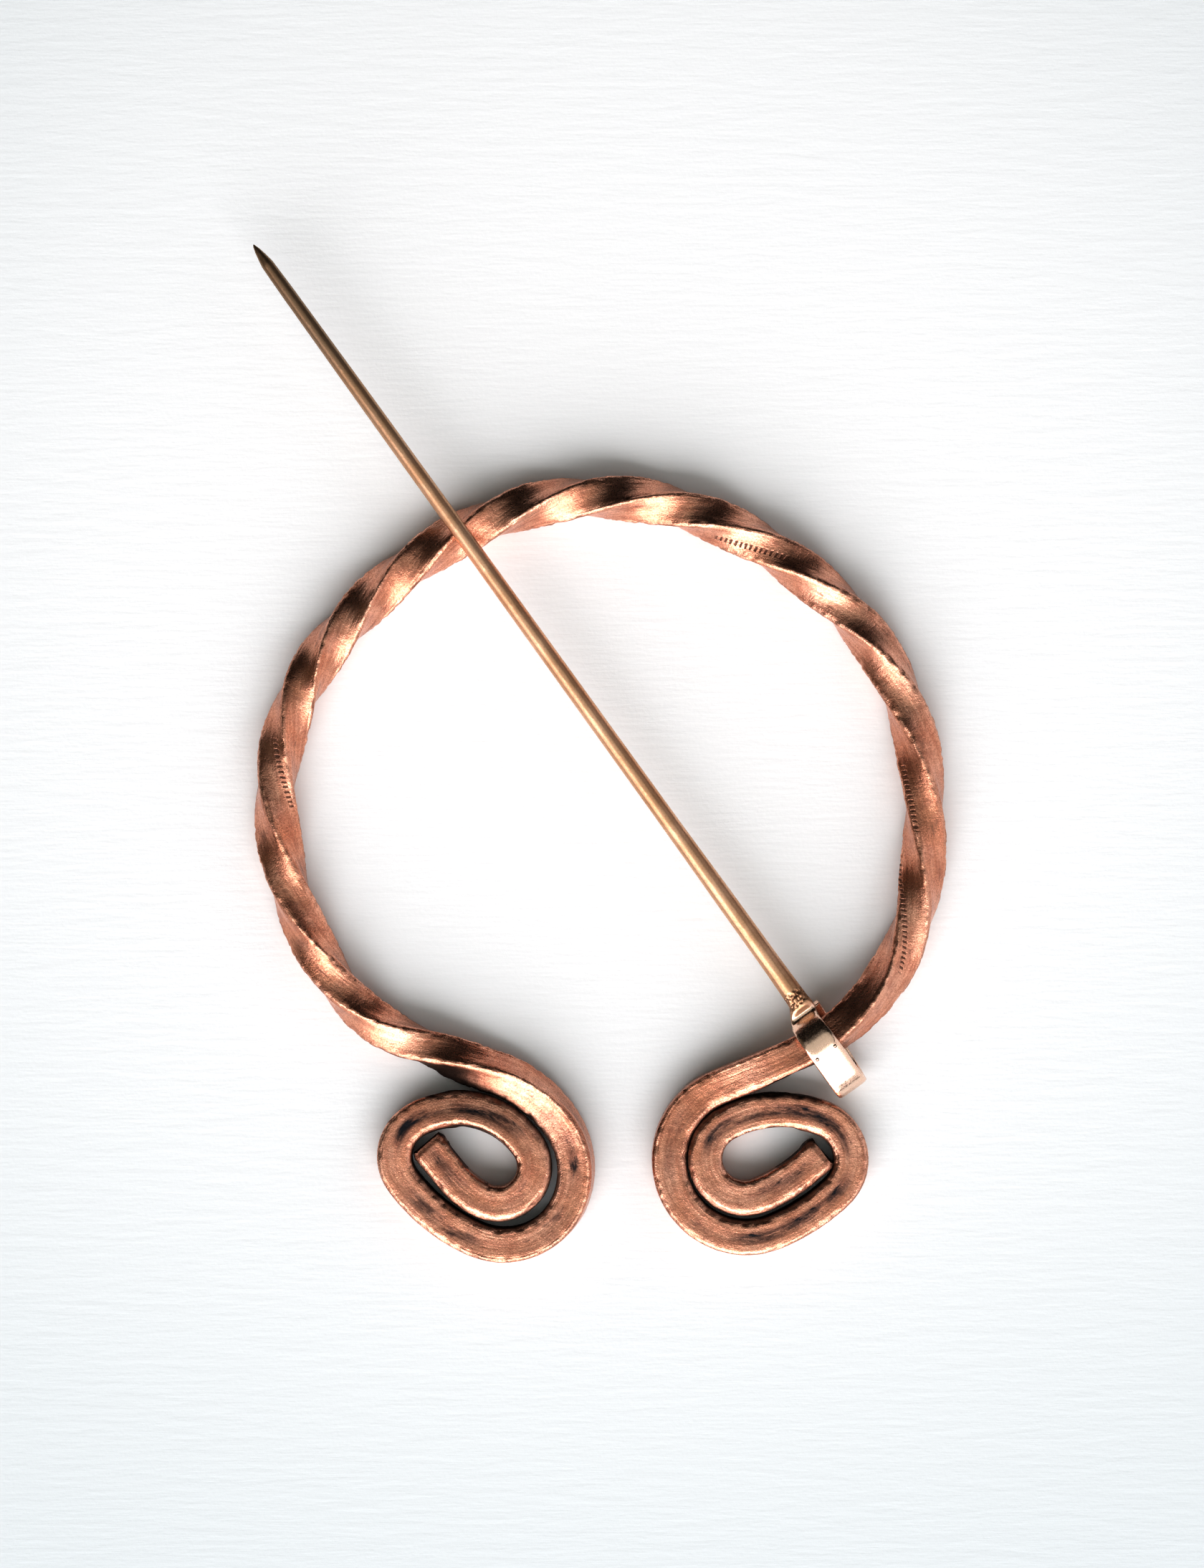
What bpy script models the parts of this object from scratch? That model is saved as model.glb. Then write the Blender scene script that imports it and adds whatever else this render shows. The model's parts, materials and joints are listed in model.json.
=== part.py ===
"""A penannular brooch of copper, lying flat: a ring bent from one twisted square bar, and its pin.

The ring is a single bar. Its middle is twisted and bent to an open hoop, and both ends are drawn
down a little and coiled inwards. The pin is a round wire whose head is beaten flat and wrapped
round the bar as a loose loop, so the pin swings about the bar and its point rests on the hoop.

Metres, +Z up. The brooch lies on z = 0, with its crown towards +Y and its coils towards -Y, and
the origin is under the middle of its box.
"""

import math
from collections import namedtuple

import bmesh
import bpy
import numpy as np

MM = 0.001

# The ring's bar: a square with its corners taken off, thinner where it is coiled
BAR = 3.1 * MM
COIL_BAR = 2.85 * MM
BAR_CHAMFER = 0.35 * MM
DRAW_DOWN_LENGTH = 20.0 * MM

# The hoop, bent by hand from the crown down each side: each bend is (radius, angle), the radius
# as a share of the hoop's own. The bends are opened or closed together until the coils stand the
# width of the mouth apart.
HOOP_RADIUS = 28.0 * MM
LEFT_HOOP_BENDS = ((0.865, 26), (1.32, 26.4), (0.772, 43.7), (1.028, 29.8), (0.525, 34))
RIGHT_HOOP_BENDS = ((0.93, 25), (1.30, 19), (0.86, 38), (1.36, 17), (0.66, 58))
MOUTH = 5.12 * MM

# The coils. A first turn is bent, as (radius, angle) from the inner end outwards, and a second
# turn is wound round it a small gap away; these radii and the slack are shares of the distance
# between two turns. The last part of the second turn stands slack, a straight neck joins it to
# the hoop, and the bar's inner end stops just short of the turn round it.
COIL_GAP = 0.35 * MM
Coil = namedtuple("Coil", "neck first_turn second_turn slack_turn slack end_gap")
LEFT_COIL = Coil(
    neck=7.5 * MM,
    first_turn=((2.7, 22), (0.98, 153), (2.34, 84), (1.14, 98), (4.92, 30)),
    second_turn=184,
    slack_turn=87,
    slack=0.285,
    end_gap=0.3 * MM,
)
RIGHT_COIL = Coil(
    neck=6.6 * MM,
    first_turn=((4.5, 19), (1.063, 174), (3.22, 48), (1.22, 116), (5.28, 9)),
    second_turn=192,
    slack_turn=140,
    slack=0.08,
    end_gap=0.15 * MM,
)

# The twist as (place, angle turned so far): places in the hoop are shares of its length from the
# left, and places past its ends are distances along the bar
TWIST_IN_HOOP = ((0.032, 135), (0.2335, 405), (0.3367, 585), (0.7047, 1125), (0.92, 1395))
TWIST_PAST_LEFT_END = ((60.0 * MM, 0), (54.0 * MM, -9), (50.0 * MM, -9), (44.0 * MM, 0),
                       (29.0 * MM, 0), (17.5 * MM, 9), (12.5 * MM, 21), (4.9 * MM, 45))
TWIST_PAST_RIGHT_END = ((0.6 * MM, 1440),)
TWIST_EASE = 3.0 * MM

# How far along the bar a rise or a dip in its height is spread
LIFT_REACH = 5.0 * MM

# The pin: a wire that swells towards its head, given as (distance from the tip, diameter)
PIN_REACH = 84.8 * MM
WIRE = ((0.0, 0.16 * MM), (0.7 * MM, 0.6 * MM), (2.0 * MM, 1.12 * MM), (5.0 * MM, 1.24 * MM),
        (19.0 * MM, 1.41 * MM), (42.0 * MM, 1.52 * MM), (62.0 * MM, 1.6 * MM),
        (71.0 * MM, 1.76 * MM), (77.0 * MM, 1.8 * MM), (80.0 * MM, 1.95 * MM))
PIN_SKEW = 5.0
WIRE_OFFSET = 0.65 * MM

# The pin's head, a flat strip: how it climbs from the wire, passes over and round the bar, and
# comes back under it, a little to one side, to end under the wire
STRIP_THICKNESS = 0.75 * MM
STRIP_ROOT_WIDTH = 2.55 * MM
STRIP_WIDTH = 2.95 * MM
SHOULDER = 3.65 * MM
SHOULDER_LENGTH = 0.6 * MM
VALLEY_RADIUS = 0.8 * MM
CLIMB = 63.0
LOOP_OVERHANG = 5.2 * MM
FAR_BEND_RADIUS = 1.8 * MM
STRIP_END_RISE = 35.0
STRIP_END_DRIFT = 0.62 * MM

# The pin's slits: inside the loop, to the coil, to the table, at the strip's end, and where the
# pin lies on the hoop
LOOP_FROM_NECK = 2.6 * MM
LOOP_PLAY = 0.2 * MM
LOOP_TO_COIL = 0.35 * MM
TABLE_GAP = 0.05 * MM
STRIP_END_GAP = 0.25 * MM
REST_GAP = 0.1 * MM

# How finely the pieces are cut into facets
PATH_STEP = 0.1 * MM
BAR_STEP = 0.65 * MM
BEND_STEP = 8.5
WIRE_STEP = 3.5 * MM
TIP_STEP = 0.6 * MM
STRIP_STEP = 0.4 * MM
PIN_SIDES = 12
STRIP_SQUARENESS = 6.0
SHARP_EDGE = 35.0

COPPER = (0.84, 0.42, 0.28, 1.0)
BRONZE = (0.60, 0.42, 0.22, 1.0)
COPPER_ROUGHNESS = 0.35
BRONZE_ROUGHNESS = 0.4

COIL_PITCH = COIL_BAR + COIL_GAP


def arc(radius, degrees):
    """A bend as the pair (length of bar, turn in radians)."""
    return radius * math.radians(abs(degrees)), math.radians(degrees)


def straight(length):
    return length, 0.0


def walk(start, heading, bends):
    """Points a small step apart along bends that run on smoothly from one to the next."""
    points = [np.array(start, float)]
    for length, turn in bends:
        count = max(1, round(length / PATH_STEP))
        for _ in range(count):
            heading += turn / count / 2
            forward = np.array([math.cos(heading), math.sin(heading)])
            points.append(points[-1] + forward * length / count)
            heading += turn / count / 2
    return np.array(points)


def lengths_along(points):
    steps = np.linalg.norm(np.diff(points, axis=0), axis=1)
    return np.concatenate([[0.0], np.cumsum(steps)])


def hoop_length(hoop_bends, spread):
    return sum(arc(share * HOOP_RADIUS, angle * spread)[0] for share, angle in hoop_bends)


def coil_bends(coil):
    """One coil's bends as (radius, degrees), from the neck inwards, a degree at a time."""
    ends = np.cumsum([angle for _, angle in coil.first_turn])
    whole = ends[-1] + coil.second_turn
    bends = []
    for turned in range(whole):
        wound = 0.0
        below = turned
        if turned >= ends[-1]:
            wound = 1.0 + (coil.slack if turned >= whole - coil.slack_turn else 0.0)
            below = turned - 360
        share = coil.first_turn[int(np.searchsorted(ends, below, side="right"))][0]
        bends.append(((share + wound) * COIL_PITCH, 1))
    return bends[::-1]


def leg_length(points, end_gap):
    """How far the bar's inner end runs straight on, until a corner nearly meets the turn round it."""
    forward = points[-1] - points[-2]
    forward = forward / np.linalg.norm(forward)
    corners = np.array([[-forward[1], forward[0]], [forward[1], -forward[0]]]) * COIL_BAR / 2
    turn_round = points[lengths_along(points)[-1] - lengths_along(points) > 3 * COIL_BAR]
    length = 0.0
    while length < 3 * COIL_BAR:
        tips = points[-1] + forward * (length + PATH_STEP) + corners
        nearest = min(np.linalg.norm(turn_round - tip, axis=1).min() for tip in tips)
        if nearest < COIL_BAR / 2 + end_gap:
            break
        length += PATH_STEP
    return length


def arm(side, hoop_bends, coil, spread):
    """One half of the bar, from the crown to the coil's inner end; side is 1 for the left."""
    bends = [arc(share * HOOP_RADIUS, side * angle * spread) for share, angle in hoop_bends]
    bends.append(straight(coil.neck))
    bends += [arc(radius, -side * angle) for radius, angle in coil_bends(coil)]
    return walk((0.0, 0.0), math.pi if side > 0 else 0.0, bends)


def coil_part(points, hoop_bends, spread):
    return points[lengths_along(points) > hoop_length(hoop_bends, spread)]


def mouth_width(spread):
    """The gap between the two coils when the hoop's bends are turned by this share of their angles."""
    left = coil_part(arm(1, LEFT_HOOP_BENDS, LEFT_COIL, spread), LEFT_HOOP_BENDS, spread)
    right = coil_part(arm(-1, RIGHT_HOOP_BENDS, RIGHT_COIL, spread), RIGHT_HOOP_BENDS, spread)
    return right[:, 0].min() - left[:, 0].max() - COIL_BAR


def hoop_spread():
    """The share that gives the mouth its width, found by halving."""
    open_share, closed_share = 0.6, 1.3
    for _ in range(24):
        middle = (open_share + closed_share) / 2
        if mouth_width(middle) > MOUTH:
            open_share = middle
        else:
            closed_share = middle
    return open_share


def with_leg(points, coil):
    step = points[-1] - points[-2]
    leg = leg_length(points, coil.end_gap)
    return np.vstack([points, points[-1] + step / np.linalg.norm(step) * leg])


Path = namedtuple("Path", "points along heading left_end right_end")


def bar_path():
    """The bar's middle line in plan, with its lengths from the crown (left is minus) and headings."""
    spread = hoop_spread()
    left = with_leg(arm(1, LEFT_HOOP_BENDS, LEFT_COIL, spread), LEFT_COIL)
    right = with_leg(arm(-1, RIGHT_HOOP_BENDS, RIGHT_COIL, spread), RIGHT_COIL)
    points = np.vstack([left[::-1], right[1:]])
    along = lengths_along(points) - lengths_along(left)[-1]
    even = np.linspace(along[0], along[-1], round((along[-1] - along[0]) / PATH_STEP) + 1)
    points = np.column_stack([np.interp(even, along, points[:, axis]) for axis in (0, 1)])
    forward = np.gradient(points, axis=0)
    heading = np.unwrap(np.arctan2(forward[:, 1], forward[:, 0]))
    left_end = -hoop_length(LEFT_HOOP_BENDS, spread)
    return Path(points, even, heading, left_end, hoop_length(RIGHT_HOOP_BENDS, spread))


def averaged(values, reach):
    """Each value replaced by the mean of those within reach of it along the bar."""
    half = max(1, round(reach / PATH_STEP))
    padded = np.pad(values, half, mode="edge")
    return np.convolve(padded, np.ones(2 * half + 1) / (2 * half + 1), mode="valid")


def highest_within(values, reach):
    half = max(1, round(reach / PATH_STEP))
    padded = np.pad(values, half, mode="edge")
    return np.array([padded[i : i + 2 * half + 1].max() for i in range(len(values))])


def bar_twist(path):
    """The section's turn at each place along the bar, in radians: nearly flat in both coils."""
    hoop = path.right_end - path.left_end
    stations = [(path.left_end - past, turned) for past, turned in TWIST_PAST_LEFT_END]
    stations += [(path.left_end + share * hoop, turned) for share, turned in TWIST_IN_HOOP]
    stations += [(path.right_end + past, turned) for past, turned in TWIST_PAST_RIGHT_END]
    places, turned = zip(*stations)
    return averaged(np.radians(np.interp(path.along, places, turned)), TWIST_EASE)


def bar_side(path, along):
    """The bar's thickness: full in the hoop, drawn down before the hoop's ends."""
    places = (path.left_end, path.left_end + DRAW_DOWN_LENGTH,
              path.right_end - DRAW_DOWN_LENGTH, path.right_end)
    return np.interp(along, places, (COIL_BAR, BAR, BAR, COIL_BAR))


def section_corners():
    """The eight corners of the bar's section for a bar of size 1."""
    flat = 0.5
    cut = flat - BAR_CHAMFER / BAR
    return np.array([(cut, -flat), (-cut, -flat), (-flat, -cut), (-flat, cut),
                     (-cut, flat), (cut, flat), (flat, cut), (flat, -cut)])


def half_heights(side, twist):
    """How far the turned section reaches above and below its middle."""
    across, up = section_corners().T
    reach = np.outer(np.sin(twist), across) + np.outer(np.cos(twist), up)
    return side * reach.max(axis=1)


def loop_place(path):
    """How far along the bar the loop sits, from the crown."""
    return path.right_end - LOOP_FROM_NECK


def loop_radius(path):
    """The radius of the strip's middle line round the bar, clear of the bar's corners as it turns."""
    bar_reach = bar_side(path, loop_place(path)) * np.linalg.norm(section_corners()[0])
    return bar_reach + LOOP_PLAY + STRIP_THICKNESS / 2


def bar_heights(path, side, twist):
    """The height of the bar's middle: it lies on the table, and rises to let the loop pass under."""
    needed = half_heights(side, twist)
    under_loop = np.abs(path.along - loop_place(path)) < STRIP_WIDTH / 2 + STRIP_END_DRIFT
    over_strip = loop_radius(path) + STRIP_THICKNESS / 2 + TABLE_GAP
    lifted = highest_within(np.where(under_loop, over_strip, needed), LIFT_REACH)
    return averaged(averaged(lifted, LIFT_REACH / 2), LIFT_REACH / 2)


def bar_stations(path):
    """The places where the bar gets a section: closer together in tight bends."""
    chosen = [0]
    for i in range(1, len(path.along)):
        moved = path.along[i] - path.along[chosen[-1]]
        turned = abs(path.heading[i] - path.heading[chosen[-1]])
        if moved >= BAR_STEP or turned >= math.radians(BEND_STEP):
            chosen.append(i)
    if path.along[-1] - path.along[chosen[-1]] < BAR_STEP / 3:
        chosen.pop()
    return chosen + [len(path.along) - 1]


def new_material(name, colour, roughness):
    material = bpy.data.materials.new(name)
    material.use_nodes = True
    shader = material.node_tree.nodes["Principled BSDF"]
    shader.inputs["Base Color"].default_value = colour
    shader.inputs["Metallic"].default_value = 1.0
    shader.inputs["Roughness"].default_value = roughness
    return material


def make_section_profile(helpers):
    """The bar's section as a closed curve of size 1, which the ring's curve is swept with."""
    curve = bpy.data.curves.new("bar_section", "CURVE")
    curve.dimensions = "2D"
    corners = section_corners()
    spline = curve.splines.new("POLY")
    spline.points.add(len(corners) - 1)
    for point, (x, y) in zip(spline.points, corners):
        point.co = (x, y, 0.0, 1.0)
    spline.use_cyclic_u = True
    profile = bpy.data.objects.new("bar_section", curve)
    profile.hide_render = True
    profile.display_type = "WIRE"
    helpers.objects.link(profile)
    return profile


def make_ring(collection, helpers, path, side, twist, heights):
    """The ring: the bar's section swept along its middle line, turned by the twist."""
    curve = bpy.data.curves.new("ring", "CURVE")
    curve.dimensions = "3D"
    curve.twist_mode = "Z_UP"
    curve.bevel_mode = "OBJECT"
    curve.bevel_object = make_section_profile(helpers)
    curve.use_fill_caps = True
    chosen = bar_stations(path)
    spline = curve.splines.new("POLY")
    spline.points.add(len(chosen) - 1)
    for point, i in zip(spline.points, chosen):
        point.co = (*path.points[i], heights[i], 1.0)
        point.tilt = -twist[i]
        point.radius = side[i]
    curve.materials.append(new_material("copper", COPPER, COPPER_ROUGHNESS))
    ring = bpy.data.objects.new("ring", curve)
    collection.objects.link(ring)
    return ring


def hinge_on_bar(path, heights):
    """The pin's hinge: its place on the bar's middle line, and the way it faces, across the bar."""
    at = int(np.argmin(np.abs(path.along - loop_place(path))))
    return np.array([*path.points[at], heights[at]]), path.heading[at] - math.pi / 2


def seen_from_hinge(path, hinge, facing):
    """The bar's middle line in plan as (distance ahead along the pin, distance to its right)."""
    tipward = facing + math.radians(PIN_SKEW)
    ahead = np.array([math.cos(tipward), math.sin(tipward)])
    aside = np.array([math.sin(tipward), -math.cos(tipward)])
    from_hinge = path.points - hinge[:2]
    return from_hinge @ ahead, from_hinge @ aside


def loop_overhang(path, hinge, facing):
    """How far the loop reaches past the bar's middle, less where it would come too near the coil."""
    ahead, aside = seen_from_hinge(path, hinge, facing)
    in_coil = path.along > path.right_end + RIGHT_COIL.neck
    beside = np.maximum(np.abs(aside) - STRIP_WIDTH / 2, 0.0)
    clear = COIL_BAR / 2 + LOOP_TO_COIL
    in_the_way = in_coil & (beside < clear)
    short_of_coil = -ahead - np.sqrt(np.maximum(clear**2 - beside**2, 0.0))
    return short_of_coil[in_the_way].min(initial=LOOP_OVERHANG)


def wire_diameter(from_tip):
    distances, diameters = zip(*WIRE)
    return np.interp(from_tip, distances, diameters)


def valley_centre(radius):
    """The centre of the hollow bend between the wire and the loop, as (ahead, up) from the hinge."""
    climb = math.radians(CLIMB)
    return (radius + VALLEY_RADIUS) * math.sin(climb), (radius + VALLEY_RADIUS) * math.cos(climb)


def shaft_rise(path, side, twist, heights, hinge, facing):
    """The angle in radians at which the wire rises from the loop, so that it lies on the hoop."""
    ahead, aside = seen_from_hinge(path, hinge, facing)
    off_line = np.where(ahead > HOOP_RADIUS, np.abs(aside - WIRE_OFFSET), np.inf)
    crossing = int(np.argmin(off_line))
    tops = heights + half_heights(side, twist)
    roof = tops[np.abs(path.along - path.along[crossing]) < BAR].max() - hinge[2]
    near_side = ahead[crossing] - BAR / 2
    from_valley, above_valley = valley_centre(loop_radius(path))
    over = near_side - from_valley
    up = roof + REST_GAP + wire_diameter(PIN_REACH - near_side) / 2 - above_valley
    return math.atan2(up, over) + math.asin(VALLEY_RADIUS / math.hypot(over, up))


def pin_line(radius, overhang, rise):
    """The pin's middle line from the side, from the strip's end to the tip, as (ahead, up) points.

    It also gives each point's distance from the loop's crest, with minus towards the strip's end,
    and where on that scale the far bend is.
    """
    drop = radius - FAR_BEND_RADIUS
    reach = overhang - STRIP_THICKNESS / 2 - FAR_BEND_RADIUS
    slope = 2 * math.degrees(math.atan2(drop, reach))
    end_rise = math.radians(STRIP_END_RISE)
    wire_floor = valley_centre(radius)[1] - VALLEY_RADIUS - wire_diameter(PIN_REACH - SHOULDER) / 2
    end_top = wire_floor - STRIP_END_GAP - STRIP_THICKNESS / 2 * math.cos(end_rise)
    end_length = (end_top + radius * math.cos(end_rise)) / math.sin(end_rise)
    over = [arc(radius, slope), straight(reach)]
    under = [straight(reach), arc(radius, STRIP_END_RISE), straight(end_length)]
    crest = (0.0, radius)
    strip = walk(crest, math.pi, over + [arc(FAR_BEND_RADIUS, 180.0 - slope)] + under)
    to_wire = [arc(radius, -CLIMB), arc(VALLEY_RADIUS, CLIMB + math.degrees(rise))]
    wire_length = (PIN_REACH - walk(crest, 0.0, to_wire)[-1][0]) / math.cos(rise)
    tipward = walk(crest, 0.0, to_wire + [straight(wire_length)])
    points = np.vstack([strip[::-1], tipward[1:]])
    from_crest = lengths_along(points) - lengths_along(strip)[-1]
    return points, from_crest, -sum(length for length, _ in over)


def smooth_step(value, start, end):
    share = np.clip((value - start) / (end - start), 0.0, 1.0)
    return share * share * (3 - 2 * share)


def pin_sections(points, from_crest, far_bend):
    """For each point of the pin's line: width, thickness, squareness and distance to the right."""
    wire = wire_diameter(from_crest[-1] - from_crest)
    shoulder = from_crest[np.argmax((points[:, 0] > SHOULDER) & (from_crest > 0))]
    roundness = smooth_step(from_crest, shoulder - SHOULDER_LENGTH, shoulder)
    flare = smooth_step(from_crest, shoulder - SHOULDER_LENGTH, shoulder + SHOULDER_LENGTH / 2)
    strip = STRIP_WIDTH + (STRIP_ROOT_WIDTH - STRIP_WIDTH) * smooth_step(from_crest, 0.0, shoulder)
    width = strip + (wire - strip) * flare
    thickness = STRIP_THICKNESS + (wire - STRIP_THICKNESS) * roundness
    squareness = STRIP_SQUARENESS + (2.0 - STRIP_SQUARENESS) * roundness
    drift = STRIP_END_DRIFT * smooth_step(-from_crest, -far_bend, -from_crest[0])
    aside = drift + WIRE_OFFSET * smooth_step(from_crest, shoulder / 2, shoulder + SHOULDER_LENGTH)
    return width, thickness, squareness, aside


def pin_stations(points, from_crest):
    """The places where the pin gets a section: close together in its head and at its tip."""
    chosen = [0]
    for i in range(1, len(points)):
        in_head = from_crest[i] < 0 or points[i, 0] < SHOULDER + SHOULDER_LENGTH
        at_tip = from_crest[-1] - from_crest[i] < WIRE_STEP
        step = STRIP_STEP if in_head else TIP_STEP if at_tip else WIRE_STEP
        if from_crest[i] - from_crest[chosen[-1]] >= step:
            chosen.append(i)
    if from_crest[-1] - from_crest[chosen[-1]] < TIP_STEP / 2:
        chosen.pop()
    return chosen + [len(points) - 1]


def superellipse(width, thickness, squareness):
    """One section's corners: a circle where squareness is 2, and a rounded box above that."""
    turn = (np.arange(PIN_SIDES) + 0.5) * 2 * math.pi / PIN_SIDES
    across = np.sign(np.cos(turn)) * np.abs(np.cos(turn)) ** (2 / squareness)
    up = np.sign(np.sin(turn)) * np.abs(np.sin(turn)) ** (2 / squareness)
    return across * width / 2, up * thickness / 2


def loft(name, rings):
    """A closed mesh through rings of corners, capped at both ends."""
    mesh = bmesh.new()
    rows = [[mesh.verts.new(corner) for corner in ring] for ring in rings]
    for row, following in zip(rows, rows[1:]):
        for k in range(len(row)):
            after = (k + 1) % len(row)
            mesh.faces.new((row[k], row[after], following[after], following[k]))
    mesh.faces.new(rows[0][::-1])
    mesh.faces.new(rows[-1])
    bmesh.ops.recalc_face_normals(mesh, faces=mesh.faces)
    data = bpy.data.meshes.new(name)
    mesh.to_mesh(data)
    mesh.free()
    return data


def make_pin(collection, path, side, twist, heights):
    """The pin: sections lofted along its line, with its origin on the bar that it swings about."""
    hinge, facing = hinge_on_bar(path, heights)
    rise = shaft_rise(path, side, twist, heights, hinge, facing)
    overhang = loop_overhang(path, hinge, facing)
    points, from_crest, far_bend = pin_line(loop_radius(path), overhang, rise)
    width, thickness, squareness, aside = pin_sections(points, from_crest, far_bend)
    forward = np.gradient(points, axis=0)
    forward /= np.linalg.norm(forward, axis=1)[:, None]
    skew = math.radians(PIN_SKEW)
    ahead = np.array([math.cos(skew), math.sin(skew), 0.0])
    to_right = np.array([math.sin(skew), -math.cos(skew), 0.0])
    upward = np.array([0.0, 0.0, 1.0])
    rings = []
    for i in pin_stations(points, from_crest):
        middle = points[i, 0] * ahead + aside[i] * to_right + points[i, 1] * upward
        normal = forward[i, 0] * upward - forward[i, 1] * ahead
        across, up = superellipse(width[i], thickness[i], squareness[i])
        rings.append(middle + across[:, None] * to_right + up[:, None] * normal)
    data = loft("pin", rings)
    data.shade_smooth()
    data.set_sharp_from_angle(angle=math.radians(SHARP_EDGE))
    data.materials.append(new_material("bronze", BRONZE, BRONZE_ROUGHNESS))
    pin = bpy.data.objects.new("pin", data)
    pin.location = hinge
    pin.rotation_euler = (0.0, 0.0, facing)
    collection.objects.link(pin)
    return pin


def centre_on_origin(pieces):
    """Moves the brooch so that the origin is under the middle of its box, on the table."""
    bpy.context.view_layer.update()
    graph = bpy.context.evaluated_depsgraph_get()
    corners = []
    for piece in pieces:
        evaluated = piece.evaluated_get(graph)
        corners += [evaluated.matrix_world @ vertex.co for vertex in evaluated.to_mesh().vertices]
        evaluated.to_mesh_clear()
    low, high = np.min(corners, axis=0), np.max(corners, axis=0)
    shift = ((low[0] + high[0]) / 2, (low[1] + high[1]) / 2, low[2])
    for piece in pieces:
        piece.location = [place - moved for place, moved in zip(piece.location, shift)]


def build():
    collection = bpy.data.collections.new("penannular_brooch")
    helpers = bpy.data.collections.new("guides")
    bpy.context.scene.collection.children.link(collection)
    bpy.context.scene.collection.children.link(helpers)
    path = bar_path()
    side = bar_side(path, path.along)
    twist = bar_twist(path)
    heights = bar_heights(path, side, twist)
    ring = make_ring(collection, helpers, path, side, twist, heights)
    pin = make_pin(collection, path, side, twist, heights)
    centre_on_origin([ring, pin])


for existing in list(bpy.data.objects):
    bpy.data.objects.remove(existing, do_unlink=True)
build()
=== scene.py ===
# %% [markdown]
# # A penannular brooch, dressed over its solids
# The brooch is two pieces of metal. The ring is one square copper bar, twisted over its middle,
# bent to an open hoop and coiled at both ends. The pin is a bronze wire whose beaten head is
# wrapped round the bar. The packed model already has both as plain faceted solids, so this
# lesson keeps their places and gives them what the solids leave out: soft hammered faces, rough
# worn edges, tool marks, and metal that looks handled.

# %% The packed solids
import json
import math

import bmesh
import bpy
import numpy as np
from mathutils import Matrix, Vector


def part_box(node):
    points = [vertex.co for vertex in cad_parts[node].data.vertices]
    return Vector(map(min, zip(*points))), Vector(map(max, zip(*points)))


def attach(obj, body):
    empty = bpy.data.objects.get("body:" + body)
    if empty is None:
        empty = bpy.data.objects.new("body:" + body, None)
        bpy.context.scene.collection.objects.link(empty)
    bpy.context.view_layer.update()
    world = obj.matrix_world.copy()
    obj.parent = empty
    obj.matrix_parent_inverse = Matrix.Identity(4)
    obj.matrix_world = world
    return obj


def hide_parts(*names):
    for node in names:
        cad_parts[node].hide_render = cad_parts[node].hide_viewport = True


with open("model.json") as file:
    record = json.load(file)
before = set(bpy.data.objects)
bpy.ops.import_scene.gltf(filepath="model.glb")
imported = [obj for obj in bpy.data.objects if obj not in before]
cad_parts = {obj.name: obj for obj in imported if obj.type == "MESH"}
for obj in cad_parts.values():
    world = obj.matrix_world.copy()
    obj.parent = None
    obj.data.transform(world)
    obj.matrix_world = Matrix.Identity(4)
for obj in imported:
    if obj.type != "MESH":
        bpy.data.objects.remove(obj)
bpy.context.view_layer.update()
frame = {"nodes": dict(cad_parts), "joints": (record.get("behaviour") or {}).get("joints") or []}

MM = 0.001


def in_mm(metres, digits=2):
    """Metres as rounded millimetres, for printing."""
    return np.round(np.array(metres) * 1000, digits).tolist()


print("solids:", {name: len(node.data.polygons) for name, node in frame["nodes"].items()})

# %% [markdown]
# ## Wiring nodes with short sentences
# Materials and Geometry Nodes are both trees of nodes. Clicking them together is fine for a few,
# but a finish takes dozens, so here a tree is written down. One method adds any node with its
# settings and its sockets, and what comes out of it can be used in sums, which add Math nodes.

# %% A wire and its sums
class Wire:
    """What comes out of a node. Sums on it add Math nodes to its tree."""

    def __init__(self, tree, socket):
        self.tree = tree
        self.socket = socket

    def maths(self, operation, *values):
        return self.tree.maths(operation, *values)

    def __add__(self, other):
        return self.maths("ADD", self, other)

    def __radd__(self, other):
        return self.maths("ADD", other, self)

    def __sub__(self, other):
        return self.maths("SUBTRACT", self, other)

    def __rsub__(self, other):
        return self.maths("SUBTRACT", other, self)

    def __mul__(self, other):
        return self.maths("MULTIPLY", self, other)

    def __rmul__(self, other):
        return self.maths("MULTIPLY", other, self)

    def __truediv__(self, other):
        return self.maths("DIVIDE", self, other)

    def __rtruediv__(self, other):
        return self.maths("DIVIDE", other, self)

    def __pow__(self, other):
        return self.maths("POWER", self, other)

    def __abs__(self):
        return self.maths("ABSOLUTE", self)

    def from_to(self, low, high, start=0.0, end=1.0):
        """Runs smoothly from start to end as the value goes from low to high."""
        sockets = {0: self, 1: low, 2: high, 3: start, 4: end}
        return self.tree.node("ShaderNodeMapRange", {"interpolation_type": "SMOOTHSTEP"}, sockets)


print("a wire can:", [name.strip("_") for name, does in vars(Wire).items() if callable(does)])

# %% [markdown]
# Some nodes have several sockets of one name, so those are given by number. In a Mix node the two
# colours go into sockets 6 and 7, and the mixed colour comes out of the third output.

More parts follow.
